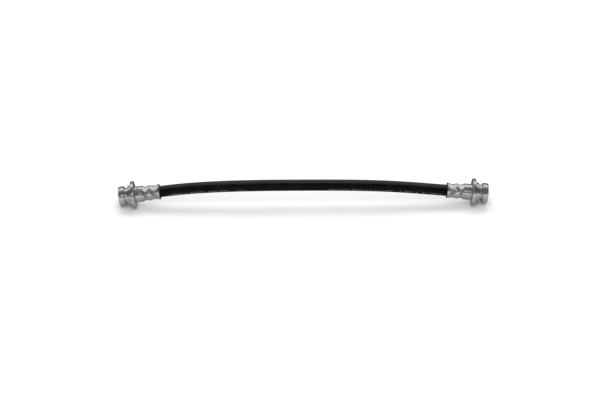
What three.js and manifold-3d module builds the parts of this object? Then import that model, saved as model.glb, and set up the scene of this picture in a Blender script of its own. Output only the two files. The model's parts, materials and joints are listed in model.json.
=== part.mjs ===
// A car's rubber brake hose with a crimped steel fitting on each end.
// Units are millimetres and +Z is up. +X runs along the hose from the left fitting to the right one.
// The hose stands as an arch: each fitting rests on the flat of its flange, at Z = 0.

import * as THREE from 'three';
import { mergeVertices } from 'three/addons/utils/BufferGeometryUtils.js';
import Module from 'manifold-3d';

const wasm = await Module();
wasm.setup();

// Clearance that is kept between two pieces that touch
const seatGap = 0.3;

// The rubber hose
const hoseDiameter = 10.5;
const hoseBore = 3.2;

// The port end of a fitting, from its mouth inwards
const endCollarDiameter = 18.2;
const endCollarLength = 6.0;
const endCollarRounding = 1.4;
const clipGrooveDiameter = 14.9;
const clipGrooveWidth = 2.9;
const stepCollarDiameter = 18.2;
const stepCollarLength = 2.8;
const edgeBreak = 0.35;

// The flange, with the flat and the locating notch that stop it from turning in its bracket
const flangeDiameter = 25.3;
const flangeThickness = 3.3;
const flangeFlatDepth = 1.15;
const flatHollow = 0.12;
const notchWidth = 1.5;
const notchDepth = 1.1;
const notchAngle = 54;
const notchOverlap = 0.05;

// The barrel and the shell that is crimped on the hose
const barrelDiameter = 14.8;
const barrelLength = 7.2;
const shellWall = 1.3;
const crimpAcrossFlats = 12.0;
const crimpRampLength = 2.3;
const crimpPitch = 8.4;
const bulgeDiameter = 14.0;
const bulgeJawShare = 0.15;
const mouthDiameter = 14.4;
const mouthRampLength = 5.3;
const jawCount = 8;

// The threaded socket, its flare seat and the passage behind it
const socketDiameter = 8.92;
const socketDepth = 14.2;
const socketLeadIn = 0.9;
const seatHeight = 1.7;
const seatBaseDiameter = 6.6;
const seatTopDiameter = 4.0;
const passageDiameter = 3.0;
const socketFloorThickness = 2.8;

// The insert that holds the hose open under the crimp
const insertDiameter = 4.4;
const insertBore = 2.6;
const insertStemLength = 3.0;
const insertCollarDiameter = 7.4;
const insertCollarThickness = 0.8;
const insertTipSetback = 2.4;
const barbCount = 4;
const barbDepth = 0.25;
const boreConeOverlap = 0.8;

// The pose: where each flange centre stands along X, and how far each outer end leans down
const leftFlangeX = -156.25;
const rightFlangeX = 156.55;
const leftLean = 8.1;
const rightLean = 5.3;
const leftCrimpTurn = 13.5;
const rightCrimpTurn = 9.0;

// The centreline of the hose between the two shells, at Y = 0. Each point is its X, and its rise above the
// height at which a flange's axis lies when the flange stands on its flat without a lean
const hoseRoute = [
  [-133.1, 3.4], [-128.2, 4.1], [-122.2, 4.93], [-113.5, 6.02], [-102, 7.1],
  [-88, 8.05], [-72, 8.82], [-54, 9.36], [-34, 9.6], [-12, 9.62],
  [12, 9.48], [34, 9.2], [54, 8.7], [72, 7.9], [88, 6.78],
  [102, 5.54], [113.5, 4.36], [122.2, 3.43], [128.4, 2.73], [133.35, 2.27],
];

// How far a cutting tool reaches past what it cuts
const cutMargin = 0.5;

// Facets
const roundSegments = 40;
const roundingPoints = 4;
const shellOutsidePoints = 15;
const shellInsidePoints = 10;
const squeezePoints = 12;
const insertSegments = 16;
const plugSegments = 20;
const hoseSides = 12;
const hoseSteps = 28;
const mergeTolerance = 1e-4;

const flangeFlatFromAxis = flangeDiameter / 2 - flangeFlatDepth;

// Stations along a fitting, measured inwards from the face of its port
const grooveStart = endCollarLength;
const stepStart = grooveStart + clipGrooveWidth;
const flangeStart = stepStart + stepCollarLength;
const flangeMiddle = flangeStart + flangeThickness / 2;
const flangeEnd = flangeStart + flangeThickness;
const barrelEnd = flangeEnd + barrelLength;
const firstCrimp = barrelEnd + crimpRampLength;
const bulgeMiddle = firstCrimp + crimpPitch / 2;
const secondCrimp = firstCrimp + crimpPitch;
const fittingLength = secondCrimp + mouthRampLength;
const stemSeat = socketDepth + socketFloorThickness;
const cavityFloor = stemSeat + insertStemLength;
const stemStart = stemSeat + seatGap;
const collarStart = cavityFloor + seatGap;
const hoseEndStart = collarStart + insertCollarThickness + seatGap;
const insertTip = fittingLength - insertTipSetback;

const steel = new THREE.MeshStandardMaterial({ color: 0x9c9b9c, roughness: 0.38, metalness: 0.9 });
const plainSteel = new THREE.MeshStandardMaterial({ color: 0x8a8a88, roughness: 0.45, metalness: 0.9 });
const rubber = new THREE.MeshStandardMaterial({ color: 0x17171a, roughness: 0.55, metalness: 0.0 });

// The crimped shell's outer radius across the jaws' flats at each station, and how strongly the jaws
// shape it there
const shellStations = [
  { at: barrelEnd, radius: barrelDiameter / 2, jaw: 0 },
  { at: firstCrimp, radius: crimpAcrossFlats / 2, jaw: 1 },
  { at: bulgeMiddle, radius: bulgeDiameter / 2, jaw: bulgeJawShare },
  { at: secondCrimp, radius: crimpAcrossFlats / 2, jaw: 1 },
  { at: fittingLength, radius: mouthDiameter / 2, jaw: 0 },
];

function shellAt(station) {
  const first = shellStations[0];
  if (station <= first.at) return first;
  for (let i = 1; i < shellStations.length; i += 1) {
    const before = shellStations[i - 1];
    const after = shellStations[i];
    if (station <= after.at) {
      const share = (station - before.at) / (after.at - before.at);
      const eased = (1 - Math.cos(Math.PI * share)) / 2;
      return {
        radius: before.radius + (after.radius - before.radius) * eased,
        jaw: before.jaw + (after.jaw - before.jaw) * eased,
      };
    }
  }
  return shellStations[shellStations.length - 1];
}

function spread(from, to, count) {
  return Array.from({ length: count }, (_, i) => from + ((to - from) * i) / (count - 1));
}

// A fitting is revolved about local Y. Y = 0 is the middle of the flange, and +Y points out of the port.
function revolve(outline, segments, turnDegrees = 0) {
  const points = outline
    .map(([radius, station]) => new THREE.Vector2(radius, flangeMiddle - station))
    .reverse();
  if (points[0].x > 0) points.push(points[0].clone());
  return new THREE.LatheGeometry(points, segments, THREE.MathUtils.degToRad(turnDegrees));
}

function toSolid(geometry) {
  const bare = geometry.clone();
  bare.deleteAttribute('normal');
  bare.deleteAttribute('uv');
  const merged = mergeVertices(bare, mergeTolerance);
  const mesh = new wasm.Mesh({
    numProp: 3,
    vertProperties: new Float32Array(merged.attributes.position.array),
    triVerts: new Uint32Array(merged.index.array),
  });
  return new wasm.Manifold(mesh);
}

function toGeometry(solid) {
  const { vertProperties, triVerts } = solid.getMesh();
  const geometry = new THREE.BufferGeometry();
  geometry.setAttribute('position', new THREE.BufferAttribute(new Float32Array(vertProperties), 3));
  geometry.setIndex(new THREE.BufferAttribute(new Uint32Array(triVerts), 1));
  geometry.computeVertexNormals();
  return geometry;
}

// Presses the jaws' flats into the crimped stretch: each point moves out where it lies between two jaws
function pressJaws(geometry, turnDegrees) {
  const position = geometry.attributes.position;
  const jawAngle = (2 * Math.PI) / jawCount;
  const turn = THREE.MathUtils.degToRad(turnDegrees);
  for (let i = 0; i < position.count; i += 1) {
    const station = flangeMiddle - position.getY(i);
    if (station > barrelEnd) {
      const x = position.getX(i);
      const z = position.getZ(i);
      const angle = Math.atan2(x, z) - turn;
      const fromJaw = angle - jawAngle * Math.round(angle / jawAngle);
      const stretch = 1 + shellAt(station).jaw * (1 / Math.cos(fromJaw) - 1);
      position.setX(i, x * stretch);
      position.setZ(i, z * stretch);
    }
  }
  return geometry;
}

function roundedEnd(radius, rounding, count) {
  return spread(0, Math.PI / 2, count).map((angle) => [
    radius - rounding + rounding * Math.sin(angle),
    rounding - rounding * Math.cos(angle),
  ]);
}

// The port end is turned from bar: end collar, clip groove, step collar and flange
function portOutline() {
  const endRadius = endCollarDiameter / 2;
  const stepRadius = stepCollarDiameter / 2;
  const grooveRadius = clipGrooveDiameter / 2;
  const flangeRadius = flangeDiameter / 2;
  return [
    ...roundedEnd(endRadius, endCollarRounding, roundingPoints),
    [endRadius, grooveStart - edgeBreak],
    [endRadius - edgeBreak, grooveStart],
    [grooveRadius, grooveStart],
    [grooveRadius, stepStart],
    [stepRadius - edgeBreak, stepStart],
    [stepRadius, stepStart + edgeBreak],
    [stepRadius, flangeStart],
    [flangeRadius, flangeStart],
    [flangeRadius, flangeEnd],
    [barrelDiameter / 2, flangeEnd],
  ];
}

// The shell keeps one wall from the barrel to its flared mouth
function shellOutline() {
  const outside = spread(barrelEnd, fittingLength, shellOutsidePoints);
  const inside = spread(fittingLength, barrelEnd, shellInsidePoints);
  return [
    ...outside.map((station) => [shellAt(station).radius, station]),
    ...inside.map((station) => [shellAt(station).radius - shellWall, station]),
    [barrelDiameter / 2 - shellWall, cavityFloor],
  ];
}

// The bore side, from the hose's cavity out to the mouth of the port
function boreOutline() {
  const stemHole = insertDiameter / 2 + seatGap;
  const passage = passageDiameter / 2;
  const seatTop = socketDepth - seatHeight;
  const socketRadius = socketDiameter / 2;
  return [
    [stemHole, cavityFloor],
    [stemHole, stemSeat],
    [passage, stemSeat],
    [passage, seatTop],
    [seatTopDiameter / 2, seatTop],
    [seatBaseDiameter / 2, socketDepth],
    [socketRadius, socketDepth],
    [socketRadius, socketLeadIn],
    [socketRadius + socketLeadIn, 0],
  ];
}

// The tool that cuts the flange's flat lies under the flange, at local -Z. A milled flat is a little hollow,
// so the tool's top rises towards its middle, and the flange stands on the two ends of its flat.
function flatCutter() {
  const rim = flangeDiameter / 2;
  const flatHalf = Math.sqrt(rim ** 2 - flangeFlatFromAxis ** 2);
  const depth = rim - flangeFlatFromAxis + cutMargin;
  const cutter = new THREE.BoxGeometry(2 * rim, flangeThickness + 2 * cutMargin, depth, 2, 1, 1);
  cutter.translate(0, 0, -flangeFlatFromAxis - depth / 2);
  const position = cutter.attributes.position;
  for (let i = 0; i < position.count; i += 1) {
    const rise = flatHollow * (1 - Math.abs(position.getX(i)) / flatHalf);
    position.setZ(i, position.getZ(i) + rise);
  }
  return toSolid(cutter);
}

// The notch runs from the step collar to the rim, in the face that meets the bracket
function notchCutter(side) {
  const inner = stepCollarDiameter / 2 - notchOverlap;
  const outer = flangeDiameter / 2 + cutMargin;
  const cutter = new THREE.BoxGeometry(notchWidth, notchDepth + cutMargin, outer - inner);
  cutter.translate(0, (flangeThickness - notchDepth + cutMargin) / 2, (inner + outer) / 2);
  cutter.rotateY(THREE.MathUtils.degToRad(side * (90 - notchAngle)));
  return toSolid(cutter);
}

function fittingGeometry(side, crimpTurn) {
  const jawHalf = 180 / jawCount;
  const outline = [...portOutline(), ...shellOutline(), ...boreOutline()];
  const turned = pressJaws(revolve(outline, roundSegments, crimpTurn + jawHalf), crimpTurn);
  return toGeometry(toSolid(turned).subtract(flatCutter()).subtract(notchCutter(side)));
}

// The insert is a barbed tube with a collar that lies between the hose's end and the cavity's floor
function insertGeometry() {
  const outer = insertDiameter / 2;
  const root = outer - barbDepth;
  const bore = insertBore / 2;
  const collarEnd = collarStart + insertCollarThickness;
  const barbEdges = spread(collarEnd, insertTip, barbCount + 1).slice(1);
  const barbLength = (insertTip - collarEnd) / barbCount;
  const barbs = barbEdges.flatMap((edge) => [[outer, edge - barbLength], [root, edge]]);
  return revolve([
    [bore, stemStart],
    [outer, stemStart],
    [outer, collarStart],
    [insertCollarDiameter / 2, collarStart],
    [insertCollarDiameter / 2, collarEnd],
    ...barbs,
    [bore, insertTip],
  ], insertSegments);
}

// The hose's end as the crimp squeezes it, from the insert's collar to just short of the shell's mouth
function squeezedEnd() {
  const freeRadius = hoseDiameter / 2 - seatGap;
  const end = fittingLength - seatGap;
  const side = spread(hoseEndStart, end, squeezePoints).map((station) => {
    const inside = shellAt(station).radius - shellWall - seatGap;
    return [Math.min(inside, freeRadius), station];
  });
  return revolve([[0, hoseEndStart], ...side, [0, end]], plugSegments);
}

// The stretched bore round the insert, which closes down to the hose's own bore past the insert's tip
function stretchedBore() {
  const radius = insertDiameter / 2 + seatGap;
  const tipRadius = hoseBore / 2 - boreConeOverlap;
  const coneStart = insertTip + seatGap;
  const coneEnd = coneStart + radius - tipRadius;
  const open = hoseEndStart - cutMargin;
  return revolve([
    [0, open],
    [radius, open],
    [radius, coneStart],
    [tipRadius, coneEnd],
    [0, coneEnd],
  ], insertSegments);
}

function alongHose(diameter) {
  const path = new THREE.CatmullRomCurve3(
    hoseRoute.map(([x, rise]) => new THREE.Vector3(x, 0, flangeFlatFromAxis + rise)),
  );
  const section = new THREE.Shape();
  for (let i = 0; i < hoseSides; i += 1) {
    const angle = (2 * Math.PI * i) / hoseSides;
    const place = [(diameter / 2) * Math.cos(angle), (diameter / 2) * Math.sin(angle)];
    if (i === 0) section.moveTo(...place);
    else section.lineTo(...place);
  }
  section.closePath();
  return new THREE.ExtrudeGeometry(section, { steps: hoseSteps, extrudePath: path });
}

function hoseGeometry(ends) {
  let hose = toSolid(alongHose(hoseDiameter));
  ends.forEach((end) => {
    hose = hose.add(toSolid(squeezedEnd().applyMatrix4(end.matrixWorld)));
  });
  hose = hose.subtract(toSolid(alongHose(hoseBore)));
  ends.forEach((end) => {
    hose = hose.subtract(toSolid(stretchedBore().applyMatrix4(end.matrixWorld)));
  });
  return toGeometry(hose);
}

function namedMesh(name, geometry, material) {
  const mesh = new THREE.Mesh(geometry, material);
  mesh.name = name;
  return mesh;
}

// One end: a seat turned to face out along X, leaning so that its outer end is lower, on the flange's flat
function hoseEnd(word, side, flangeX, leanDegrees, crimpTurn) {
  const lean = THREE.MathUtils.degToRad(leanDegrees);
  const stand = new THREE.Group();
  const height = flangeFlatFromAxis * Math.cos(lean) + (flangeThickness / 2) * Math.sin(lean);
  stand.position.set(flangeX, 0, height);
  stand.rotation.y = side * lean;
  const seat = new THREE.Group();
  seat.rotation.z = (-side * Math.PI) / 2;
  seat.add(namedMesh(`${word}_fitting`, fittingGeometry(side, crimpTurn), steel));
  seat.add(namedMesh(`${word}_insert`, insertGeometry(), plainSteel));
  stand.add(seat);
  return { stand, seat };
}

const brakeHose = new THREE.Group();
const left = hoseEnd('left', -1, leftFlangeX, leftLean, leftCrimpTurn);
const right = hoseEnd('right', 1, rightFlangeX, rightLean, rightCrimpTurn);
brakeHose.add(left.stand, right.stand);
brakeHose.updateMatrixWorld(true);
brakeHose.add(namedMesh('rubber_hose', hoseGeometry([left.seat, right.seat]), rubber));

export default brakeHose;
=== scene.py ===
# %% [markdown]
# # A brake hose
# A brake hose carries brake fluid from a pipe on the car's body to a brake that moves with the wheel.
# It is a length of black rubber hose with a steel fitting crimped on each end.
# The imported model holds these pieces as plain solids, in metres. It is a fixed frame here: what this lesson
# makes lies where the frame says, and each piece that it makes stands in for one of the frame's solids.

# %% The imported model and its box
import json
import math

import bmesh
import bpy
from mathutils import Matrix, Vector


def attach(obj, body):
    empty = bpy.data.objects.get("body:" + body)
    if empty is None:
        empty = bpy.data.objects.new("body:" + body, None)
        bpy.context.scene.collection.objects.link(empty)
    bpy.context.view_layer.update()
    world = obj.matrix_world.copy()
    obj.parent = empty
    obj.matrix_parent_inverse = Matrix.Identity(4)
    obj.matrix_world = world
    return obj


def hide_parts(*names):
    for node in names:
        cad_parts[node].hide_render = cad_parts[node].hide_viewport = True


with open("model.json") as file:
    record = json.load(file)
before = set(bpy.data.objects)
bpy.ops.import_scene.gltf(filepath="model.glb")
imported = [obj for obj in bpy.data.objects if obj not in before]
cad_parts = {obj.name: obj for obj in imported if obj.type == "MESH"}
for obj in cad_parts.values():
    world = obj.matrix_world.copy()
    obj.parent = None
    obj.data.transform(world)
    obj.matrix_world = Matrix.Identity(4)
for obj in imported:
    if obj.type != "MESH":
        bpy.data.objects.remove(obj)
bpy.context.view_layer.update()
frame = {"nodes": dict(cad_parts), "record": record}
MM = 0.001

# %% [markdown]
# ## The camera
# The photograph looks down on the hose from the front, from far away: the two ends look the same size.
# So the camera has a long lens, and it stands a little to the left, because the right end lies slightly
# higher in the picture. A camera is added as any object is, and turned by its elevation and azimuth.

# %% The camera
CAMERA_ELEVATION = 36.0
CAMERA_AZIMUTH = -0.8
CAMERA_DISTANCE = 3.6
CAMERA_LENS = 234.7
CAMERA_SENSOR = 36.0
CAMERA_REACH = 20.0
CAMERA_TARGET = Vector((-0.0031, -0.0035, 0.00675))


def direction(azimuth, elevation):
    """The direction from the object to a place round it; azimuth 0 is the viewer's side."""
    across = math.cos(math.radians(elevation))
    turn = math.radians(azimuth)
    return Vector((math.sin(turn) * across, -math.cos(turn) * across, math.sin(math.radians(elevation))))


bpy.ops.object.camera_add(
    location=CAMERA_TARGET + CAMERA_DISTANCE * direction(CAMERA_AZIMUTH, CAMERA_ELEVATION),
    rotation=(math.radians(90 - CAMERA_ELEVATION), 0, math.radians(CAMERA_AZIMUTH)),
)
camera = bpy.context.object
camera.data.lens = CAMERA_LENS
camera.data.sensor_width = CAMERA_SENSOR
camera.data.clip_end = CAMERA_REACH
bpy.context.scene.camera = camera
print("camera at", [round(value, 3) for value in camera.location])

# %% [markdown]
# ## Where the fittings are
# The record holds a mount on the face of each port, with the direction in which the face looks. From these
# come each fitting's own axes: Z runs from the port's face into the fitting, Y is up and X lies across.
# A fitting is modelled along these axes at the origin, as on a lathe, and then moved to its place.

# %% The fittings' own axes
PORT_MOUNT_RADIUS = 6.5 * MM
WORDS = ("left", "right")


def mount(name):
    """A mount of the record by its name."""
    return next(entry for entry in frame["record"]["mounts"] if entry["name"] == name)


def fitting_axes(word):
    """The matrix that takes a fitting from its own axes to its place."""
    face = mount(word + "_port_face")
    inwards = -Vector(face["axis"])
    across = Vector((0, 0, 1)).cross(inwards).normalized()
    up = inwards.cross(across)
    place = Vector(face["pos_m"]) - up * PORT_MOUNT_RADIUS
    turned = Matrix((across, up, inwards)).transposed().to_4x4()
    return Matrix.Translation(place) @ turned


axes = {word: fitting_axes(word) for word in WORDS}
for word in WORDS:
    print(word, "port at", [round(value / MM, 2) for value in axes[word].translation])

# %% [markdown]
# ## The crimped shell's outline
# The shell is a thin steel sleeve that eight jaws press on the hose in two bands, with a bulge between them
# and a flared mouth. Between two stations its radius changes as half a wave of a cosine. The hose needs this
# outline too, because the shell squeezes it, so it is worked out before both of them.

# %% The shell's stations
SHELL_START = 22.2 * MM
SHELL_END = 38.2 * MM
SHELL_WALL = 1.3 * MM
JAWS = 8
# Each station is its distance from the port's face, its radius and how strongly the jaws shape it
SHELL_STATIONS = [
    (SHELL_START, 7.4 * MM, 0.0),
    (24.5 * MM, 6.0 * MM, 1.0),
    (28.7 * MM, 7.0 * MM, 0.15),
    (32.9 * MM, 6.0 * MM, 1.0),
    (SHELL_END, 7.2 * MM, 0.0),
]


def shell_at(station):
    """The shell's outer radius over the jaws' flats, and how strongly the jaws shape it there."""
    for before, after in zip(SHELL_STATIONS, SHELL_STATIONS[1:]):
        if before[0] <= station <= after[0]:
            share = (station - before[0]) / (after[0] - before[0])
            eased = (1 - math.cos(math.pi * share)) / 2
            radius = before[1] + (after[1] - before[1]) * eased
            return radius, before[2] + (after[2] - before[2]) * eased
    return SHELL_STATIONS[0][1:] if station < SHELL_START else SHELL_STATIONS[-1][1:]


def steps(start, end, count):
    """That many numbers from start to end, both included."""
    return [start + (end - start) * i / (count - 1) for i in range(count)]


for name, station in zip(("barrel", "first band", "bulge", "second band", "mouth"), SHELL_STATIONS):
    print(name, "radius", round(station[1] / MM, 2), "mm")

# %% [markdown]
# ## The hose
# The hose is one length of rubber with a bore, and it runs from deep inside one shell to deep inside the
# other. It could be a curve with a round bevel, but the crimps squeeze its two ends and its bore is real, so
# it is swept as a mesh: a ring of points at each step of its line, with the radius that it has there.
# A map runs along the hose in metres and once round it, for the marks that are printed on it later.

# %% The line of the hose
HOSE_RADIUS = 5.25 * MM
HOSE_BORE_RADIUS = 1.6 * MM
INSERT_BORE_RADIUS = 2.3 * MM
INSERT_TIP = 35.8 * MM
BORE_SLOPE = 0.4
HOSE_END = 21.4 * MM
STRAIGHT_END = 35.0 * MM
STRAIGHT_GUIDES = 8
HOSE_STEP = 1.5 * MM
FLAT_FROM_AXIS = 11.5 * MM
# Each point of the route is its X, and its rise above the height of the axis of an upright flange
HOSE_ROUTE = [
    (-0.1331, 0.0034), (-0.1282, 0.0041), (-0.1222, 0.00493), (-0.1135, 0.00602), (-0.102, 0.0071),
    (-0.088, 0.00805), (-0.072, 0.00882), (-0.054, 0.00936), (-0.034, 0.0096), (-0.012, 0.00962),
    (0.012, 0.00948), (0.034, 0.0092), (0.054, 0.0087), (0.072, 0.0079), (0.088, 0.00678),
    (0.102, 0.00554), (0.1135, 0.00436), (0.1222, 0.00343), (0.1284, 0.00273), (0.13335, 0.00227),
]


def smooth_line(guides, step):
    """Points about a step apart on the smooth curve through the guide points."""
    line = []
    last = len(guides) - 1
    for i in range(last):
        before = guides[max(i - 1, 0)]
        start = guides[i]
        end = guides[i + 1]
        after = guides[min(i + 2, last)]
        count = max(1, round((end - start).length / step))
        for k in range(count):
            t = k / count
            bend = (2 * before - 5 * start + 4 * end - after) * t ** 2
            twist = (3 * start - before - 3 * end + after) * t ** 3
            line.append(start + ((end - before) * t + bend + twist) / 2)
    return line + [guides[last]]


inside_shell = steps(HOSE_END, STRAIGHT_END, STRAIGHT_GUIDES)
guides = [axes["left"] @ Vector((0, 0, station)) for station in inside_shell]
guides += [Vector((x, 0, FLAT_FROM_AXIS + rise)) for x, rise in HOSE_ROUTE]
guides += [axes["right"] @ Vector((0, 0, station)) for station in reversed(inside_shell)]
hose_line = smooth_line(guides, HOSE_STEP)
hose_length = sum((b - a).length for a, b in zip(hose_line, hose_line[1:]))
print("hose:", len(hose_line), "rings,", round(hose_length / MM, 1), "mm along its middle")

# %% The hose as a swept mesh
HOSE_SIDES = 48
SQUEEZE_GAP = 0.03 * MM


def depth_in_shell(point):
    """How far along the nearer fitting's axis a point lies from the face of its port."""
    word = "left" if point.x < 0 else "right"
    return (axes[word].inverted() @ point).z


def outer_radius(point):
    """The hose's outer radius: its own, or what the crimped shell leaves."""
    station = depth_in_shell(point)
    if station >= SHELL_END:
        return HOSE_RADIUS
    return min(HOSE_RADIUS, shell_at(station)[0] - SHELL_WALL - SQUEEZE_GAP)


def bore_radius(point):
    """The bore's radius: stretched over the insert, and closing to its own past the insert's tip."""
    past_tip = depth_in_shell(point) - INSERT_TIP
    return max(HOSE_BORE_RADIUS, min(INSERT_BORE_RADIUS, INSERT_BORE_RADIUS - past_tip * BORE_SLOPE))


def ring(line, i, radius):
    """A ring of points round the line, from the top over the viewer's side and round."""
    along = (line[min(i + 1, len(line) - 1)] - line[max(i - 1, 0)]).normalized()
    viewer = Vector((0, -1, 0))
    up = viewer.cross(along)
    points = []
    for k in range(HOSE_SIDES):
        angle = 2 * math.pi * k / HOSE_SIDES
        points.append(line[i] + radius * (math.cos(angle) * up + math.sin(angle) * viewer))
    return points


def swept_hose(name, line):
    """A closed tube: its outer skin from end to end, and back along its bore."""
    count = len(line)
    order = [(i, outer_radius(line[i])) for i in range(count)]
    order += [(i, bore_radius(line[i])) for i in reversed(range(count))]
    points = [point for i, radius in order for point in ring(line, i, radius)]
    distance = [0.0]
    for a, b in zip(line, line[1:]):
        distance.append(distance[-1] + (b - a).length)
    faces = []
    map_places = []
    for row in range(len(order)):
        following = (row + 1) % len(order)
        u_here = distance[order[row][0]]
        u_next = distance[order[following][0]]
        for k in range(HOSE_SIDES):
            beside = (k + 1) % HOSE_SIDES
            faces.append((
                row * HOSE_SIDES + k,
                row * HOSE_SIDES + beside,
                following * HOSE_SIDES + beside,
                following * HOSE_SIDES + k,
            ))
            v_here = k / HOSE_SIDES
            v_beside = (k + 1) / HOSE_SIDES
            map_places += [(u_here, v_here), (u_here, v_beside), (u_next, v_beside), (u_next, v_here)]
    mesh = bpy.data.meshes.new(name)
    mesh.from_pydata(points, [], faces)
    hose_map = mesh.uv_layers.new(name="hose_map")
    for loop, place in enumerate(map_places):
        hose_map.data[loop].uv = place
    mesh.polygons.foreach_set("use_smooth", [True] * len(mesh.polygons))
    piece = bpy.data.objects.new(name, mesh)
    bpy.context.scene.collection.objects.link(piece)
    return piece


hose = swept_hose("hose_rubber", hose_line)
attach(hose, "root")
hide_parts("rubber_hose")
print("hose mesh:", len(hose.data.polygons), "faces")

# %% [markdown]
# ## The fittings, turned as on a lathe
# Each fitting is one piece of steel. A bar is turned to its end collar, the groove for the spring clip, the
# step collar, the flange and the barrel, and it is bored from both ends. Spinning a profile would do this,
# but an outline of named corners is easier to read and to change, so a ring of points walks along it:
# it is extruded to the next station, scaled to the next radius, and the last ring is bridged to the first.
# Each corner has its own rounding, as the real edges are broken, because a sharp edge catches no light.

# %% The outline of a fitting, in millimetres
COLLAR_RADIUS = 9.1
GROOVE_RADIUS = 7.45
STEP_RADIUS = 9.1
FLANGE_RADIUS = 12.65
BARREL_RADIUS = 7.4
THREAD_ROOT_RADIUS = 5.0
THREAD_CREST_RADIUS = 4.46
PORT_CHAMFER = 0.36
COLLAR_END = 5.5
GROOVE_END = 8.9
FLANGE_START = 11.7
FLANGE_END = 15.0
PORT_DEPTH = 14.2
SEAT_TIP = 12.5
SEAT_TIP_RADIUS = 2.0
SEAT_FOOT_RADIUS = 3.3
PASSAGE_RADIUS = 1.5
STEM_SEAT = 17.0
STEM_RADIUS = 2.5
CAVITY_FLOOR = 20.0
CAVITY_RADIUS = 6.1
LIP_END = 38.2
LIP_OUTSIDE = 36.9
LIP_INSIDE = 36.6
OUTSIDE_RINGS = 26
INSIDE_RINGS = 16
ROUNDING_STEPS = 3
# Each corner is its radius, its station from the port's face and its rounding
PORT_CORNERS = [
    (THREAD_ROOT_RADIUS + PORT_CHAMFER, 0.0, 0.12),
    (COLLAR_RADIUS, 0.0, 1.4),
    (COLLAR_RADIUS, COLLAR_END, 0.3),
    (GROOVE_RADIUS, COLLAR_END, 0.2),
    (GROOVE_RADIUS, GROOVE_END, 0.2),
    (STEP_RADIUS, GROOVE_END, 0.3),
    (STEP_RADIUS, FLANGE_START, 0.2),
    (FLANGE_RADIUS, FLANGE_START, 0.45),
    (FLANGE_RADIUS, FLANGE_END, 0.45),
    (BARREL_RADIUS, FLANGE_END, 0.5),
]
LIP_CORNERS = [
    (7.2, LIP_END, 0.35),
    (6.5, LIP_END, 0.2),
]
BORE_CORNERS = [
    (CAVITY_RADIUS, CAVITY_FLOOR, 0.3),
    (STEM_RADIUS, CAVITY_FLOOR, 0.2),
    (STEM_RADIUS, STEM_SEAT, 0.1),
    (PASSAGE_RADIUS, STEM_SEAT, 0.1),
    (PASSAGE_RADIUS, SEAT_TIP, 0.1),
    (SEAT_TIP_RADIUS, SEAT_TIP, 0.1),
    (SEAT_FOOT_RADIUS, PORT_DEPTH, 0.2),
    (THREAD_ROOT_RADIUS, PORT_DEPTH, 0.3),
    (THREAD_ROOT_RADIUS, PORT_CHAMFER, 0.05),
]


def rounded_corner(before, corner, after, rounding):
    """The points of the arc that rounds a corner between its two neighbours."""
    here = Vector(corner)
    back = (Vector(before) - here).normalized()
    onwards = (Vector(after) - here).normalized()
    half = back.angle(onwards) / 2
    middle = here + (back + onwards).normalized() * rounding / math.sin(half)
    start = here + back * rounding / math.tan(half) - middle
    end = here + onwards * rounding / math.tan(half) - middle
    part_turn = start.angle_signed(end) / ROUNDING_STEPS
    return [middle + Matrix.Rotation(-part_turn * k, 2) @ start for k in range(ROUNDING_STEPS + 1)]


def fitting_outline():
    """The whole outline, from the mouth of the port over the outside and back through the bores."""
    start = SHELL_START / MM
    outside = [(shell_at(s * MM)[0] / MM, s, 0) for s in steps(start, LIP_OUTSIDE, OUTSIDE_RINGS)]
    inside = [
        ((shell_at(s * MM)[0] - SHELL_WALL) / MM, s, 0)
        for s in steps(LIP_INSIDE, start, INSIDE_RINGS)
    ]
    corners = PORT_CORNERS + outside + LIP_CORNERS + inside + BORE_CORNERS
    outline = []
    for i, (radius, station, rounding) in enumerate(corners):
        if rounding == 0:
            outline.append(Vector((radius, station)))
        else:
            before = corners[i - 1][:2]
            after = corners[(i + 1) % len(corners)][:2]
            outline += rounded_corner(before, (radius, station), after, rounding)
    return [point * MM for point in outline]


outline = fitting_outline()
print("outline:", len(outline), "rings, from radius", round(outline[0].x / MM, 2), "mm")

# %% Walking a ring along the outline
RING_SIDES = 96


def deselect_all():
    """Leaves edit mode and takes everything out of the selection."""
    if bpy.context.object and bpy.context.object.mode != "OBJECT":
        bpy.ops.object.mode_set(mode="OBJECT")
    bpy.ops.object.select_all(action="DESELECT")


def choose(piece):
    """Selects one object alone and makes it the active one."""
    deselect_all()
    piece.select_set(True)
    bpy.context.view_layer.objects.active = piece


def turned_blank(name, outline):
    """A closed ring of metal whose section is the outline, round the Z axis."""
    deselect_all()
    bpy.ops.mesh.primitive_circle_add(vertices=RING_SIDES, radius=outline[0].x, location=(0, 0, 0))
    blank = bpy.context.object
    blank.name = name
    bpy.ops.object.mode_set(mode="EDIT")
    bpy.ops.mesh.select_all(action="SELECT")
    bpy.ops.transform.translate(value=(0, 0, outline[0].y))
    for here, there in zip(outline, outline[1:]):
        bpy.ops.mesh.extrude_region_move(TRANSFORM_OT_translate={"value": (0, 0, there.y - here.y)})
        scale = there.x / here.x
        bpy.ops.transform.resize(value=(scale, scale, 1), center_override=(0, 0, there.y))
    bpy.ops.mesh.select_all(action="DESELECT")
    bpy.ops.mesh.select_non_manifold(extend=False)
    bpy.ops.mesh.bridge_edge_loops()
    bpy.ops.mesh.select_all(action="SELECT")
    bpy.ops.mesh.normals_make_consistent(inside=False)
    bpy.ops.object.mode_set(mode="OBJECT")
    return blank


blank = turned_blank("fitting_blank", outline)
print("blank:", len(blank.data.polygons), "faces")

# %% [markdown]
# ## The crimp
# The jaws press eight flats into each band and leave a low ridge where two jaws meet. The turned rings are
# pressed in the same way: the points over a jaw's middle stay, and the further a point lies from it, the
# more it is scaled away from the axis. Points that share one scale are selected and scaled together.

# %% Pressing the jaws' flats
JAW_ANGLE = 360 / JAWS
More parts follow.
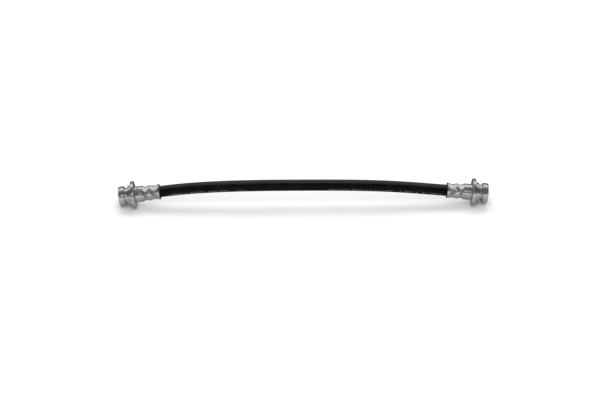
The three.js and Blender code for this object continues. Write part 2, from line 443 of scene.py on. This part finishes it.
# A ridge's height as a share of the radius, and how many degrees it reaches to each side
RIDGE = 0.03
RIDGE_REACH = 2.5
PRESSED_FROM_RADIUS = 4 * MM


def stretch_at(point):
    """How far the jaws' shape moves a point of a round shell from the axis."""
    pressed = shell_at(point.z)[1]
    angle = math.degrees(math.atan2(point.x, point.y))
    from_jaw = abs((angle + JAW_ANGLE / 2) % JAW_ANGLE - JAW_ANGLE / 2)
    stretch = 1 + pressed * (1 / math.cos(math.radians(from_jaw)) - 1)
    if JAW_ANGLE / 2 - from_jaw < RIDGE_REACH:
        stretch += pressed * RIDGE
    return round(stretch, 4)


def press_jaws(piece):
    """Scales the points of the crimped stretch out, group by group."""
    choose(piece)
    bpy.ops.object.mode_set(mode="EDIT")
    bpy.ops.mesh.select_mode(type="VERT")
    mesh = bmesh.from_edit_mesh(piece.data)
    groups = {}
    for vert in mesh.verts:
        if vert.co.z > SHELL_START and vert.co.xy.length > PRESSED_FROM_RADIUS:
            stretch = stretch_at(vert.co)
            if stretch > 1:
                groups.setdefault(stretch, []).append(vert)
    for stretch, verts in groups.items():
        bpy.ops.mesh.select_all(action="DESELECT")
        for vert in verts:
            vert.select = True
        mesh.select_flush_mode()
        bpy.ops.transform.resize(value=(stretch, stretch, 1), center_override=(0, 0, 0))
    bpy.ops.object.mode_set(mode="OBJECT")
    return len(groups)


print("jaws pressed in", press_jaws(blank), "scalings")

# %% [markdown]
# ## The thread of the port
# A tube nut screws into the port, so its wall carries a fine thread of 1 mm pitch. Real taps cut the groove
# away. Here the wall lies at the groove's bottom, and the ridge between the grooves is added: one small
# section that the Screw modifier turns and lifts along the port. Its two ends fade into the wall.

# %% The thread's ridge
THREAD_PITCH = 1.0 * MM
THREAD_TURNS = 10
THREAD_START = 1.2 * MM
THREAD_STEPS = 48
THREAD_FOOT = 0.86 * THREAD_PITCH
THREAD_TOP = 0.16 * THREAD_PITCH
THREAD_SINK = 0.06 * MM
FADE_STEPS = 16
SECTION_POINTS = 4


def thread_ridge(name):
    """A helical ridge inside the port's wall, its ends closed."""
    deselect_all()
    bpy.ops.mesh.primitive_plane_add(size=1, location=(0, 0, 0), rotation=(math.radians(90), 0, 0))
    ridge = bpy.context.object
    ridge.name = name
    bpy.ops.object.transform_apply(rotation=True)
    bpy.ops.object.mode_set(mode="EDIT")
    bpy.ops.mesh.delete(type="ONLY_FACE")
    bpy.ops.object.mode_set(mode="OBJECT")
    for vert in ridge.data.vertices:
        if vert.co.x > 0:
            radius = THREAD_ROOT_RADIUS * MM + THREAD_SINK
            width = THREAD_FOOT
        else:
            radius = THREAD_CREST_RADIUS * MM
            width = THREAD_TOP
        vert.co = (radius, 0, THREAD_START + math.copysign(width / 2, vert.co.z))
    screw = ridge.modifiers.new("turns", "SCREW")
    screw.axis = "Z"
    screw.screw_offset = THREAD_PITCH
    screw.iterations = THREAD_TURNS
    screw.steps = THREAD_STEPS
    screw.render_steps = THREAD_STEPS
    screw.use_smooth_shade = False
    bpy.ops.object.modifier_apply(modifier="turns")
    close_ends(ridge)
    return ridge


def close_ends(ridge):
    """Caps the two open ends of the ridge and sinks them in the wall."""
    choose(ridge)
    bpy.ops.object.mode_set(mode="EDIT")
    bpy.ops.mesh.select_mode(type="VERT")
    bpy.ops.mesh.select_all(action="DESELECT")
    bpy.ops.mesh.select_non_manifold(extend=False)
    bpy.ops.mesh.fill_holes(sides=0)
    bpy.ops.mesh.select_all(action="SELECT")
    bpy.ops.mesh.normals_make_consistent(inside=False)
    mesh = bmesh.from_edit_mesh(ridge.data)
    mesh.verts.ensure_lookup_table()
    sections = len(mesh.verts) // SECTION_POINTS
    full = THREAD_ROOT_RADIUS / THREAD_CREST_RADIUS
    for step in range(FADE_STEPS):
        scale = full + (1 - full) * step / FADE_STEPS
        for section in (step, sections - 1 - step):
            first = section * SECTION_POINTS
            bpy.ops.mesh.select_all(action="DESELECT")
            for vert in mesh.verts[first:first + SECTION_POINTS]:
                vert.select = True
            mesh.select_flush_mode()
            bpy.ops.transform.resize(value=(scale, scale, 1), center_override=(0, 0, 0))
    bpy.ops.object.mode_set(mode="OBJECT")


ridge = thread_ridge("thread_ridge")
print("thread:", THREAD_TURNS, "turns,", len(ridge.data.polygons), "faces")

# %% [markdown]
# ## Flat and notch
# The flange has a flat, which stands the part up, and a notch in the face that meets the bracket, so that
# the fitting can't turn in it. On the real one a mill would cut both. The flat is one plane, so Bisect cuts
# it and fills the cut. The notch ends inside the metal, so a Boolean modifier takes a block away there. The
# block's deep edges are rounded first, because that is easier than to round the notch afterwards.

# %% Cutting the flat and the notch
FLAT_EDGE = 0.2 * MM
NOTCH_WIDTH = 1.5 * MM
NOTCH_DEPTH = 1.1 * MM
NOTCH_ROUNDING = 0.3 * MM
NOTCH_FLOOR = STEP_RADIUS * MM - 0.05 * MM
NOTCH_MOUTH = FLANGE_RADIUS * MM + 1 * MM
FLANGE_FACE = FLANGE_START * MM
# The notch's angle from up, in degrees
NOTCH_FROM_UP = {"left": -43.0, "right": 43.0}


def copy_of(piece, name):
    """A copy with its own mesh."""
    copy = piece.copy()
    copy.data = piece.data.copy()
    copy.name = name
    bpy.context.scene.collection.objects.link(copy)
    return copy


def move_mesh(piece, matrix):
    """Moves a piece and puts its place in its mesh."""
    choose(piece)
    piece.matrix_world = matrix
    bpy.ops.object.transform_apply(location=True, rotation=True, scale=True)


def cut_flat(piece):
    """Cuts the flange's flat at the lower side and breaks its edges."""
    choose(piece)
    bpy.ops.object.mode_set(mode="EDIT")
    bpy.ops.mesh.select_mode(type="FACE")
    bpy.ops.mesh.select_all(action="SELECT")
    bpy.ops.mesh.bisect(
        plane_co=(0, -FLAT_FROM_AXIS, 0),
        plane_no=(0, -1, 0),
        use_fill=True,
        clear_outer=True,
    )
    bpy.ops.mesh.region_to_loop()
    bpy.ops.mesh.bevel(offset=FLAT_EDGE, segments=2, affect="EDGES", clamp_overlap=True)
    bpy.ops.object.mode_set(mode="OBJECT")


def notch_block(word):
    """The block that cuts the notch, with its two deep edges rounded."""
    deselect_all()
    bpy.ops.mesh.primitive_cube_add(size=1, location=(0, (NOTCH_FLOOR + NOTCH_MOUTH) / 2, FLANGE_FACE))
    block = bpy.context.object
    block.scale = (NOTCH_WIDTH, NOTCH_MOUTH - NOTCH_FLOOR, 2 * NOTCH_DEPTH)
    bpy.ops.object.transform_apply(location=True, rotation=True, scale=True)
    bpy.ops.object.mode_set(mode="EDIT")
    bpy.ops.mesh.select_mode(type="EDGE")
    bpy.ops.mesh.select_all(action="DESELECT")
    mesh = bmesh.from_edit_mesh(block.data)
    for edge in mesh.edges:
        deep = all(vert.co.z > FLANGE_FACE for vert in edge.verts)
        lengthwise = abs(edge.verts[0].co.y - edge.verts[1].co.y) > NOTCH_WIDTH
        edge.select_set(deep and lengthwise)
    bpy.ops.mesh.bevel(offset=NOTCH_ROUNDING, segments=3, affect="EDGES")
    bpy.ops.object.mode_set(mode="OBJECT")
    move_mesh(block, Matrix.Rotation(-math.radians(NOTCH_FROM_UP[word]), 4, "Z"))
    return block


def cut_notch(piece, word):
    """Cuts the notch with a Boolean modifier."""
    block = notch_block(word)
    choose(piece)
    cut = piece.modifiers.new("notch", "BOOLEAN")
    cut.operation = "DIFFERENCE"
    cut.solver = "EXACT"
    cut.object = block
    bpy.ops.object.modifier_apply(modifier="notch")
    bpy.data.objects.remove(block)


print("notch from radius", round(NOTCH_FLOOR / MM, 2), "mm,", NOTCH_DEPTH / MM, "mm deep")

# %% [markdown]
# ## Two fittings from one blank
# The two fittings are the same turned part, so the blank is copied and not made twice. Each copy is turned to
# where the jaws gripped it, cut for its flat and its notch, and joined with its thread. Then it moves to its
# own axes in the frame, and stands in for the frame's solid.

# %% The two fittings at their places
SMOOTH_ANGLE = 36.0
# The angle at which the jaws gripped each fitting, in degrees
CRIMP_TURN = {"left": 32.0, "right": 13.0}


def made_fitting(word):
    """One fitting at its place, with its crimp turned as it is on this end."""
    piece = copy_of(blank, word + "_crimped_fitting")
    move_mesh(piece, Matrix.Rotation(-math.radians(CRIMP_TURN[word]), 4, "Z"))
    cut_flat(piece)
    cut_notch(piece, word)
    thread = copy_of(ridge, word + "_thread")
    choose(piece)
    thread.select_set(True)
    bpy.ops.object.join()
    move_mesh(piece, axes[word])
    bpy.ops.object.shade_smooth_by_angle(angle=math.radians(SMOOTH_ANGLE))
    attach(piece, "root")
    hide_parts(word + "_fitting")
    return piece


fittings = {word: made_fitting(word) for word in WORDS}
bpy.data.objects.remove(blank)
bpy.data.objects.remove(ridge)
for word in WORDS:
    print(word, "fitting:", len(fittings[word].data.polygons), "faces")

# %% [markdown]
# ## Writing shaders as sums
# A material is a small calculation at each point of a surface. Wiring each Math node by hand hides it, so a
# Value wraps a socket here: adding or multiplying values adds the node that does it. A Finish holds the nodes
# of one material, or of the world, and has one method that adds any other node.

# %% Values and finishes
class Value:
    """A number, colour or vector that a node gives; sums with it add Math nodes."""

    def __init__(self, finish, socket):
        self.finish = finish
        self.socket = socket

    def math(self, operation, first, second):
        """Adds a Math node."""
        return self.finish.node("Math", {"operation": operation}, {0: first, 1: second})

    def __add__(self, other):
        return self.math("ADD", self, other)

    def __radd__(self, other):
        return self.math("ADD", other, self)

    def __sub__(self, other):
        return self.math("SUBTRACT", self, other)

    def __rsub__(self, other):
        return self.math("SUBTRACT", other, self)

    def __mul__(self, other):
        return self.math("MULTIPLY", self, other)

    def __rmul__(self, other):
        return self.math("MULTIPLY", other, self)

    def __truediv__(self, other):
        return self.math("DIVIDE", self, other)


def grey(value, warm=0.0):
    """A grey, with some warmth where warm is above 0."""
    return (value * (1 + warm), value, value * (1 - warm), 1.0)


def set_stops(ramp, stops):
    """Gives a colour ramp its stops, each a position and a grey."""
    while len(ramp.elements) < len(stops):
        ramp.elements.new(1.0)
    for element, (position, value) in zip(ramp.elements, stops):
        element.position = position
        element.color = grey(value)


class Finish:
    """The nodes of one material, or of the world."""

    def __init__(self, name, owners=bpy.data.materials):
        self.owner = owners.new(name)
        self.owner.use_nodes = True
        self.tree = self.owner.node_tree
        self.tree.nodes.clear()

    def node(self, kind, settings=None, inputs=None, output=0):
        """Adds a node, makes its settings, fills its sockets and gives one output."""
        made = self.tree.nodes.new("ShaderNode" + kind)
        for name, setting in (settings or {}).items():
            if name == "stops":
                set_stops(made.color_ramp, setting)
            else:
                setattr(made, name, setting)
        for name, value in (inputs or {}).items():
            if isinstance(value, Value):
                self.tree.links.new(value.socket, made.inputs[name])
            else:
                made.inputs[name].default_value = value
        return Value(self, made.outputs[output]) if made.outputs else None

    def position(self):
        """A point's place in the frame, in metres."""
        return self.node("TexCoord", output="Object")

    def part(self, vector, letter):
        """The X, Y or Z of a vector."""
        return self.node("SeparateXYZ", inputs={0: vector}, output=letter)

    def noise(self, vector, scale, detail=3.0, roughness=0.55):
        """Noise from about 0 to 1; its scale is about the number of clouds in a metre."""
        inputs = {"Vector": vector, "Scale": scale, "Detail": detail, "Roughness": roughness}
        return self.node("TexNoise", inputs=inputs)

    def rise(self, value, low, high):
        """0 below low, 1 above high and a soft step between them."""
        inputs = {"Value": value, "From Min": low, "From Max": high}
        return self.node("MapRange", {"interpolation_type": "SMOOTHSTEP"}, inputs)

    def between(self, value, low, high, soft):
        """1 from low to high, falling off softly on both sides."""
        return self.rise(value, low - soft, low + soft) * self.rise(0 - value, -high - soft, soft - high)

    def mix(self, factor, first, second):
        """A colour between two colours."""
        return self.node("Mix", {"data_type": "RGBA"}, {0: factor, 6: first, 7: second}, 2)

    def greater(self, first, second):
        """The greater of two values."""
        return self.node("Math", {"operation": "MAXIMUM"}, {0: first, 1: second})

    def surface(self, inputs, bump=None):
        """Ends the material in a Principled shader, with a height in metres for its bump."""
        shader = dict(inputs)
        if bump is not None:
            shader["Normal"] = self.node("Bump", inputs={"Height": bump, "Distance": 1.0, "Strength": 1.0})
        closure = self.node("BsdfPrincipled", inputs=shader)
        self.node("OutputMaterial", inputs={"Surface": closure})
        return self.owner


print("finishes are ready")

# %% [markdown]
# ## Stains and painted shade on the fittings
# Painted shade darkens the corners, the port, the notch and the lip, and dulls the metal there, and
# near-black painted shade fills the underside of the clip groove. The barrel has small brown stains. A
# painted picture could hold all this, but it would need a map of the whole fitting. Here each patch is a
# product of soft steps along the fitting and away from its axis, so it stays in its own place on the fitting.

# %% Stains and painted shade
# A stain is its station, its angle from up towards the viewer, its reach and its strength
STAINS = {
    "left": [(16.9, 50.0, 2.0, 0.9), (18.2, 24.0, 2.6, 0.7), (21.4, 66.0, 0.9, 0.5)],
    "right": [(21.3, 78.0, 0.7, 0.9), (18.9, 66.0, 0.5, 0.7), (27.6, 44.0, 0.9, 0.5)],
}
STAIN_SCALE = 900.0
# The viewer's side as a sign of the fitting's own X
VIEWER_SIDE = {"left": -1, "right": 1}
# A corner with painted shade is its two stations and their softness, the radii at which the shade starts and
# is full, all in millimetres, and its strength
SHADED_CORNERS = [
    (5.5, 5.9, 0.15, 8.9, 8.2, 0.8),
    (11.2, 11.75, 0.12, 10.2, 9.2, 0.8),
    (14.9, 15.5, 0.25, 8.8, 7.6, 0.7),
]
# Painted shade in the port and in the notch
PORT_SHADE = 0.5
PORT_SHADE_RADII = (5.6 * MM, 5.2 * MM)
NOTCH_SHADE = 0.7
NOTCH_SHADE_RADII = (9.0 * MM, 9.3 * MM)
NOTCH_SHADE_OUTSIDE = 0.5 * MM
NOTCH_SHADE_SOFTNESS = 0.08 * MM
# Where near-black painted shade lies in the underside of the clip groove
GROOVE_SHADE_STATIONS = (5.4 * MM, 7.0 * MM)
GROOVE_SHADE_SOFTNESS = 0.3 * MM
GROOVE_SHADE_RADII = (8.9 * MM, 8.3 * MM)
GROOVE_SHADE_BELOW_AXIS = (1.0 * MM, 4.5 * MM)


def stain_mask(finish, local, word):
    """Where the brown stains lie."""
    ragged = finish.noise(local, STAIN_SCALE, 4.0)
    mask = 0.0
    for station, angle, reach, strength in STAINS[word]:
        turn = math.radians(angle) * VIEWER_SIDE[word]
        place = (BARREL_RADIUS * MM * math.sin(turn), BARREL_RADIUS * MM * math.cos(turn), station * MM)
        away = finish.node("VectorMath", {"operation": "DISTANCE"}, {0: local, 1: place}, "Value")
        spot = finish.rise(away + ragged * (reach * MM), reach * 1.5 * MM, reach * MM) * strength
        mask = finish.greater(spot, mask)
    return mask


def notch_shade_mask(finish, local, word):
    """Where the notch in the flange lies, which is painted darker as shade."""
    turned = finish.node("VectorRotate", {"rotation_type": "Z_AXIS"}, {
        "Vector": local,
        "Angle": math.radians(NOTCH_FROM_UP[word]),
    })
    half = NOTCH_WIDTH / 2
    start = FLANGE_FACE - NOTCH_SHADE_OUTSIDE
    end = FLANGE_FACE + NOTCH_DEPTH
    across = finish.between(finish.part(turned, "X"), -half, half, NOTCH_SHADE_SOFTNESS)
    outside = finish.rise(finish.part(turned, "Y"), *NOTCH_SHADE_RADII)
    deep = finish.between(finish.part(turned, "Z"), start, end, NOTCH_SHADE_SOFTNESS)
    return across * outside * deep


def corner_shade_mask(finish, local, station, radius, word):
    """How much painted shade, which also dulls the metal, lies in the corners, in the port and in the notch.
    """
    corner_shade = finish.rise(radius, *PORT_SHADE_RADII) * PORT_SHADE
    for start, end, softness, thin, full, strength in SHADED_CORNERS:
        along = finish.between(station, start * MM, end * MM, softness * MM)
        corner = along * finish.rise(radius, thin * MM, full * MM)
        corner_shade = finish.greater(corner_shade, corner * strength)
    return finish.greater(corner_shade, notch_shade_mask(finish, local, word) * NOTCH_SHADE)


def groove_shade_mask(finish, local, station, radius):
    """Where near-black painted shade fills the underside of the clip groove."""
    along = finish.between(station, *GROOVE_SHADE_STATIONS, GROOVE_SHADE_SOFTNESS)
    lower = finish.rise(0 - finish.part(local, "Y"), *GROOVE_SHADE_BELOW_AXIS)
    return along * lower * finish.rise(radius, *GROOVE_SHADE_RADII)


print("stains on the fittings:", {word: len(STAINS[word]) for word in WORDS})

# %% [markdown]
# ## Plated steel
# The fittings are zinc plated: a dull grey metal, clouded by handling, with fine rings from the lathe. A
# Mapping node gives each point's place on the fitting's own axes. The clouds are noise at that place, and the
# rings are noise that reads only the station and the distance from the axis, so that they run right round.

# %% The fittings' finish
DULL_ZINC = grey(0.29)
BRIGHT_ZINC = grey(0.44)
# The colour of the painted shade in the corners, the port and the notch
CORNER_SHADE_COLOUR = grey(0.075, 0.12)
STAIN_COLOUR = (0.06, 0.042, 0.033, 1.0)
# The near-black colour of the painted shade at the lip and in the clip groove's underside
PAINTED_SHADE_COLOUR = grey(0.012)
ZINC_ROUGHNESS = 0.2
ZINC_METALLIC = 0.8
BRIGHT_RISE = (0.55, 0.95)
CLOUD_SCALE = 210.0
MOTTLE_SCALE = 800.0
RING_SCALE = 5200.0
RING_DEPTH = 0.006 * MM
SPECK_SCALE = 1500.0
SPECK_DEPTH = 0.004 * MM
DENT_SCALE = 430.0
DENT_DEPTH = 0.02 * MM
# Where the lip's edge is painted near black as the shade at the mouth of the shell
LIP_SHADE_STATIONS = (37.7 * MM, 38.1 * MM)
LIP_SHADE_RAGGEDNESS = 0.5 * MM


def plated_steel(word):
    """The finish of one fitting."""
    finish = Finish(word + "_plated_steel")
    place, turn, _ = axes[word].decompose()
    local = finish.node(
        "Mapping",
        {"vector_type": "TEXTURE"},
        {"Vector": finish.position(), "Location": place, "Rotation": turn.to_euler()},
    )
    station = finish.part(local, "Z")
    section = {"X": finish.part(local, "X"), "Y": finish.part(local, "Y")}
    from_axis = finish.node("CombineXYZ", inputs=section)
    radius = finish.node("VectorMath", {"operation": "LENGTH"}, {0: from_axis}, "Value")
    round_axis = finish.node("CombineXYZ", inputs={"X": station, "Y": radius})
    rings = finish.noise(round_axis, RING_SCALE, 2.0)
    clouds = finish.noise(local, CLOUD_SCALE, 4.0, 0.6)
    specks = finish.noise(local, SPECK_SCALE, 2.0)
    mottles = finish.noise(local, MOTTLE_SCALE, 2.0)
    dents = finish.noise(local, DENT_SCALE, 2.0)
    # Painted shade: darker, duller metal in the corners, the port and the notch, near black at the lip and in
    # the groove's underside
    corner_shade = corner_shade_mask(finish, local, station, radius, word)
    groove_shade = groove_shade_mask(finish, local, station, radius)
    stain = stain_mask(finish, local, word)
    lip_shade = finish.rise(station + mottles * LIP_SHADE_RAGGEDNESS, *LIP_SHADE_STATIONS)
    bright = finish.rise(clouds * 0.7 + mottles * 0.8, *BRIGHT_RISE)
    base = finish.mix(bright, DULL_ZINC, BRIGHT_ZINC)
    # Painted shade in the corners, the port and the notch
    base = finish.mix(corner_shade * (0.55 + clouds), base, CORNER_SHADE_COLOUR)
    base = finish.mix(stain, base, STAIN_COLOUR)
    # Near-black painted shade at the lip and in the clip groove's underside
    base = finish.mix(finish.greater(lip_shade, groove_shade * 0.9), base, PAINTED_SHADE_COLOUR)
    rough = ZINC_ROUGHNESS + clouds * 0.08 + corner_shade * 0.15 + stain * 0.3
    metal = (ZINC_METALLIC - stain * 0.6 - corner_shade * 0.3) * (1 - lip_shade) * (1 - groove_shade)
    height = rings * RING_DEPTH + specks * SPECK_DEPTH + dents * DENT_DEPTH
    return finish.surface({"Base Color": base, "Roughness": rough, "Metallic": metal}, height)


for word in WORDS:
    fittings[word].data.materials.clear()
    fittings[word].data.materials.append(plated_steel(word))
print("fittings are plated")

# %% [markdown]
# ## Plain steel of the inserts
# An insert is a short barbed tube inside the hose. It hardly shows, so its frame solid stays and only gets
# the finish of drawn tube: a grey metal with faint marks.

# %% The inserts' finish
DRAWN_DARK = grey(0.28)
DRAWN_PALE = grey(0.4)
DRAWN_ROUGHNESS = 0.38
DRAWN_SCALE = 1800.0
DRAWN_DEPTH = 0.004 * MM


def drawn_steel():
    """The finish of the inserts."""
    finish = Finish("drawn_steel")
    marks = finish.noise(finish.position(), DRAWN_SCALE, 2.0)
    base = finish.mix(marks, DRAWN_DARK, DRAWN_PALE)
    rough = DRAWN_ROUGHNESS + marks * 0.15
    return finish.surface({"Base Color": base, "Roughness": rough, "Metallic": 1.0}, marks * DRAWN_DEPTH)


insert_finish = drawn_steel()
for word in WORDS:
    node = frame["nodes"][word + "_insert"]
    node.data.materials.clear()
    node.data.materials.append(insert_finish)
print("inserts are finished")

# %% [markdown]
# ## The dashes on the hose
# A row of worn pale dashes is printed along the lower front of the hose, in two stretches. Dashes with a
# mesh of their own would stand off the rubber, so they are a mask in its material. It reads the hose's map,
# which counts metres along the hose and one turn round it, so that the row follows the arch.

# %% The printed dashes
# A dash fills a span of each pitch, and where the chance of its pitch is below a limit it is missing
DASH_PITCH = 2.1 * MM
DASH_HEIGHT = 0.7 * MM
DASH_SPAN = (0.22, 0.7)
DASH_SOFTNESS = 0.07
DASH_MISSING = (0.24, 0.26)
DASH_RUNS = [(24 * MM, 98 * MM), (172 * MM, 280 * MM)]
RUN_SOFTNESS = 0.2 * MM
PRINT_TURN = 0.283
PRINT_DRIFT = 0.018


def dashes(finish):
    """Where the worn pale dashes lie."""
    place = finish.node("UVMap", {"uv_map": "hose_map"})
    along = finish.part(place, "X")
    around = finish.part(place, "Y")
    middle = (along - hose_length / 2) / (hose_length / 2)
    line = PRINT_TURN + (1 - middle * middle) * PRINT_DRIFT
    away = finish.node("Math", {"operation": "ABSOLUTE"}, {0: around - line})
    reach = DASH_HEIGHT / (2 * math.pi * HOSE_RADIUS)
    strip = finish.rise(away, reach * 1.25, reach * 0.75)
    cell = along / DASH_PITCH
    inside_cell = finish.node("Math", {"operation": "FRACT"}, {0: cell})
    number = finish.node("Math", {"operation": "FLOOR"}, {0: cell})
    chance = finish.node("TexWhiteNoise", {"noise_dimensions": "1D"}, {"W": number})
    bar = finish.between(inside_cell, *DASH_SPAN, DASH_SOFTNESS) * finish.rise(chance, *DASH_MISSING)
    run = 0.0
    for start, end in DASH_RUNS:
        run = finish.greater(finish.between(along, start, end, RUN_SOFTNESS), run)
    return strip * bar * run


print("room for", sum(round((end - start) / DASH_PITCH) for start, end in DASH_RUNS), "dashes")

# %% [markdown]
# ## Rubber
# The cover of the hose is moulded black rubber: nearly black, with a dull shine, faint lines from the mould
# along its length, a thin grey bloom in patches, pale flecks, and a lighter top of dust and painted sheen.
# The arch is so shallow that the lines can be noise which is stretched along X. The dust and painted sheen
# lie where the map's turn is near the top.

# %% The hose's finish
DARK_RUBBER = (0.0012, 0.0012, 0.0016, 1.0)
BLOOM_COLOUR = (0.0042, 0.0044, 0.0056, 1.0)
FLECK_COLOUR = (0.12, 0.125, 0.14, 1.0)
# The top's lighter colour: dust, and a painted sheen where the light from above falls
TOP_DUST_AND_SHEEN_COLOUR = (0.034, 0.036, 0.042, 1.0)
PRINT_COLOUR = grey(0.28)
PRINT_STRENGTH = 0.9
RUBBER_SHINE = 0.07
RUBBER_ROUGHNESS = 0.4
PATCH_SCALE = 75.0
BLOOM_RISE = (0.48, 0.72)
LINE_STRETCH = (0.06, 1.0, 1.0)
LINE_SCALE = 1300.0
LINE_DEPTH = 0.012 * MM
GRAIN_SCALE = 3600.0
GRAIN_DEPTH = 0.006 * MM
FLECK_SCALE = 1100.0
FLECK_RISE = (0.66, 0.74)
FLECK_PATCHES = (0.42, 0.6)
WORN_RISE = (0.5, 0.66)
# The dust and painted sheen start at this cosine of the turn from the top
DUST_AND_SHEEN_FROM = 0.7


def moulded_rubber():
    """The finish of the hose."""
    finish = Finish("moulded_rubber")
    place = finish.position()
    stretched = finish.node("VectorMath", {"operation": "MULTIPLY"}, {0: place, 1: LINE_STRETCH})
    lines = finish.noise(stretched, LINE_SCALE, 3.0, 0.6)
    patches = finish.noise(place, PATCH_SCALE, 4.0, 0.6)
    grain = finish.noise(place, GRAIN_SCALE, 2.0)
    spots = finish.noise(place, FLECK_SCALE, 2.0)
    flecks = finish.rise(spots, *FLECK_RISE) * finish.rise(patches, *FLECK_PATCHES)
    bloom = finish.rise(patches * 0.6 + lines * 0.5, *BLOOM_RISE)
    turn = finish.part(finish.node("UVMap", {"uv_map": "hose_map"}), "Y") * (2 * math.pi)
    dust_and_sheen = finish.rise(finish.node("Math", {"operation": "COSINE"}, {0: turn}), DUST_AND_SHEEN_FROM, 1.0)
    worn = finish.rise(grain * 0.5 + patches * 0.5 + lines * 0.25, *WORN_RISE)
    print_mask = dashes(finish) * (0.35 + 0.65 * worn)
    base = finish.mix(bloom, DARK_RUBBER, BLOOM_COLOUR)
    base = finish.mix(flecks * 0.5, base, FLECK_COLOUR)
    # Dust and painted sheen: the top of the hose is made lighter
    base = finish.mix(dust_and_sheen * (0.4 + patches * 0.7), base, TOP_DUST_AND_SHEEN_COLOUR)
    base = finish.mix(print_mask * PRINT_STRENGTH, base, PRINT_COLOUR)
    rough = RUBBER_ROUGHNESS + bloom * 0.12 + print_mask * 0.1
    height = lines * LINE_DEPTH + grain * GRAIN_DEPTH
    inputs = {"Base Color": base, "Roughness": rough, "Specular IOR Level": RUBBER_SHINE}
    return finish.surface(inputs, height)


hose.data.materials.append(moulded_rubber())
print("hose is finished, marks in", len(DASH_RUNS), "runs")

# %% [markdown]
# ## The ground
# The photograph has a white ground with a soft shadow towards the viewer. Stronger lamps could make a grey
# ground white, but they would wash out the part too, so the ground's material is paler for the camera's rays
# and has a weak glow for them. In reflections the ground behind the part is dark, as the photograph's steel
# has dark upper edges.

# %% The floor
FLOOR_SIZE = 7.0
FLOOR_COLOUR = 0.84
FLOOR_SEEN = 1.0
FLOOR_LIFT = 0.05
FLOOR_BEHIND = 0.12
FLOOR_ROUGHNESS = 0.9
# Where the dark ground of the reflections starts and is full, in metres behind the part
BEHIND_FROM = -0.01
BEHIND_TO = 0.03


def floor_finish():
    """A pale ground that keeps the shadow and looks white to the camera."""
    finish = Finish("pale_floor")
    camera_ray = finish.node("LightPath", output="Is Camera Ray")
    glossy_ray = finish.node("LightPath", output="Is Glossy Ray")
    behind = finish.rise(finish.part(finish.position(), "Y"), BEHIND_FROM, BEHIND_TO)
    base = finish.mix(camera_ray, grey(FLOOR_COLOUR), grey(FLOOR_SEEN))
    return finish.surface({
        "Base Color": finish.mix(glossy_ray * behind, base, grey(FLOOR_BEHIND)),
        "Roughness": FLOOR_ROUGHNESS,
        "Specular IOR Level": 0.0,
        "Emission Color": finish.mix(camera_ray, grey(0.0), grey(FLOOR_LIFT)),
        "Emission Strength": 1.0,
    })


deselect_all()
bpy.ops.mesh.primitive_plane_add(size=FLOOR_SIZE, location=(0, 0, 0))
floor = bpy.context.object
floor.name = "floor"
floor.data.materials.append(floor_finish())
print("floor:", FLOOR_SIZE, "m square")

# %% [markdown]
# ## The lamps
# A wide key lamp hangs above and behind the part, a front lamp softens its shadow, and a small lamp gives the
# glints on the bulges. The two large lamps are left out of reflections, where their panels would show as hard
# white shapes.

# %% The lamps
KEY_SIZE = (1.3, 0.95)
KEY_HEIGHT = 1.2
KEY_BEHIND = 0.76
KEY_POWER = 11.6
FRONT_SIZE = (1.0, 1.0)
FRONT_DISTANCE = 1.5
FRONT_AZIMUTH = 0.0
FRONT_ELEVATION = 60.0
FRONT_POWER = 6.4
GLINT_SIZE = (0.5, 0.16)
GLINT_DISTANCE = 1.6
GLINT_AZIMUTH = -14.0
GLINT_ELEVATION = 42.0
GLINT_POWER = 1.5


def add_lamp(name, place, turn, size, power):
    """An area lamp that faces the part."""
    bpy.ops.object.light_add(type="AREA", location=place, rotation=turn)
    lamp = bpy.context.object
    lamp.name = name
    lamp.data.shape = "RECTANGLE"
    lamp.data.size, lamp.data.size_y = size
    lamp.data.energy = power
    return lamp


def add_front_lamp(name, distance, azimuth, elevation, size, power):
    """A lamp on the viewer's side, placed as the camera is."""
    place = distance * direction(azimuth, elevation)
    turn = (math.radians(90 - elevation), 0, math.radians(azimuth))
    return add_lamp(name, place, turn, size, power)


key_turn = (-math.atan2(KEY_BEHIND, KEY_HEIGHT), 0, 0)
key = add_lamp("key_lamp", (0, KEY_BEHIND, KEY_HEIGHT), key_turn, KEY_SIZE, KEY_POWER)
key.visible_glossy = False
front = add_front_lamp("front_lamp", FRONT_DISTANCE, FRONT_AZIMUTH, FRONT_ELEVATION, FRONT_SIZE, FRONT_POWER)
front.visible_glossy = False
glint = add_front_lamp("glint_lamp", GLINT_DISTANCE, GLINT_AZIMUTH, GLINT_ELEVATION, GLINT_SIZE, GLINT_POWER)
for lamp in (key, front, glint):
    print(lamp.name, "at", [round(value, 2) for value in lamp.location])

# %% [markdown]
# ## The world
# Metal shows what is round it. The world could be a picture of a studio, but a ramp of greys over one angle
# is enough here: shiny surfaces see it as bands of light and dark, from the viewer's side over the top to
# the back. The camera sees plain white, and all other rays a weak grey that fills the shadows.

# %% The world
WORLD_FILL = 0.46
# The sky in reflections, from the viewer's side to the back: each stop's place and brightness
SKY_STOPS = [
    (0.0, 2.0), (0.05, 1.9), (0.11, 0.25), (0.25, 0.04), (0.46, 0.06),
    (0.57, 0.3), (0.65, 1.8), (0.76, 1.7), (0.86, 0.3), (1.0, 0.12),
]


def studio_world():
    """White to the camera, lighter and darker bands to shiny surfaces and a weak fill to all others."""
    world = Finish("studio", bpy.data.worlds)
    place = world.node("TexCoord", output="Generated")
    to_viewer = 0 - world.part(place, "Y")
    angle = world.node("Math", {"operation": "ARCTAN2"}, {0: world.part(place, "Z"), 1: to_viewer})
    sky = world.node("ValToRGB", {"stops": SKY_STOPS}, {"Fac": angle / math.pi})
    shiny = world.mix(world.node("LightPath", output="Is Glossy Ray"), grey(WORLD_FILL), sky)
    seen = world.mix(world.node("LightPath", output="Is Camera Ray"), shiny, grey(1.0))
    background = world.node("Background", inputs={"Color": seen})
    world.node("OutputWorld", inputs={"Surface": background})
    return world.owner


bpy.context.scene.world = studio_world()
bpy.context.scene.view_settings.view_transform = "Standard"
print("sky of", len(SKY_STOPS), "stops")
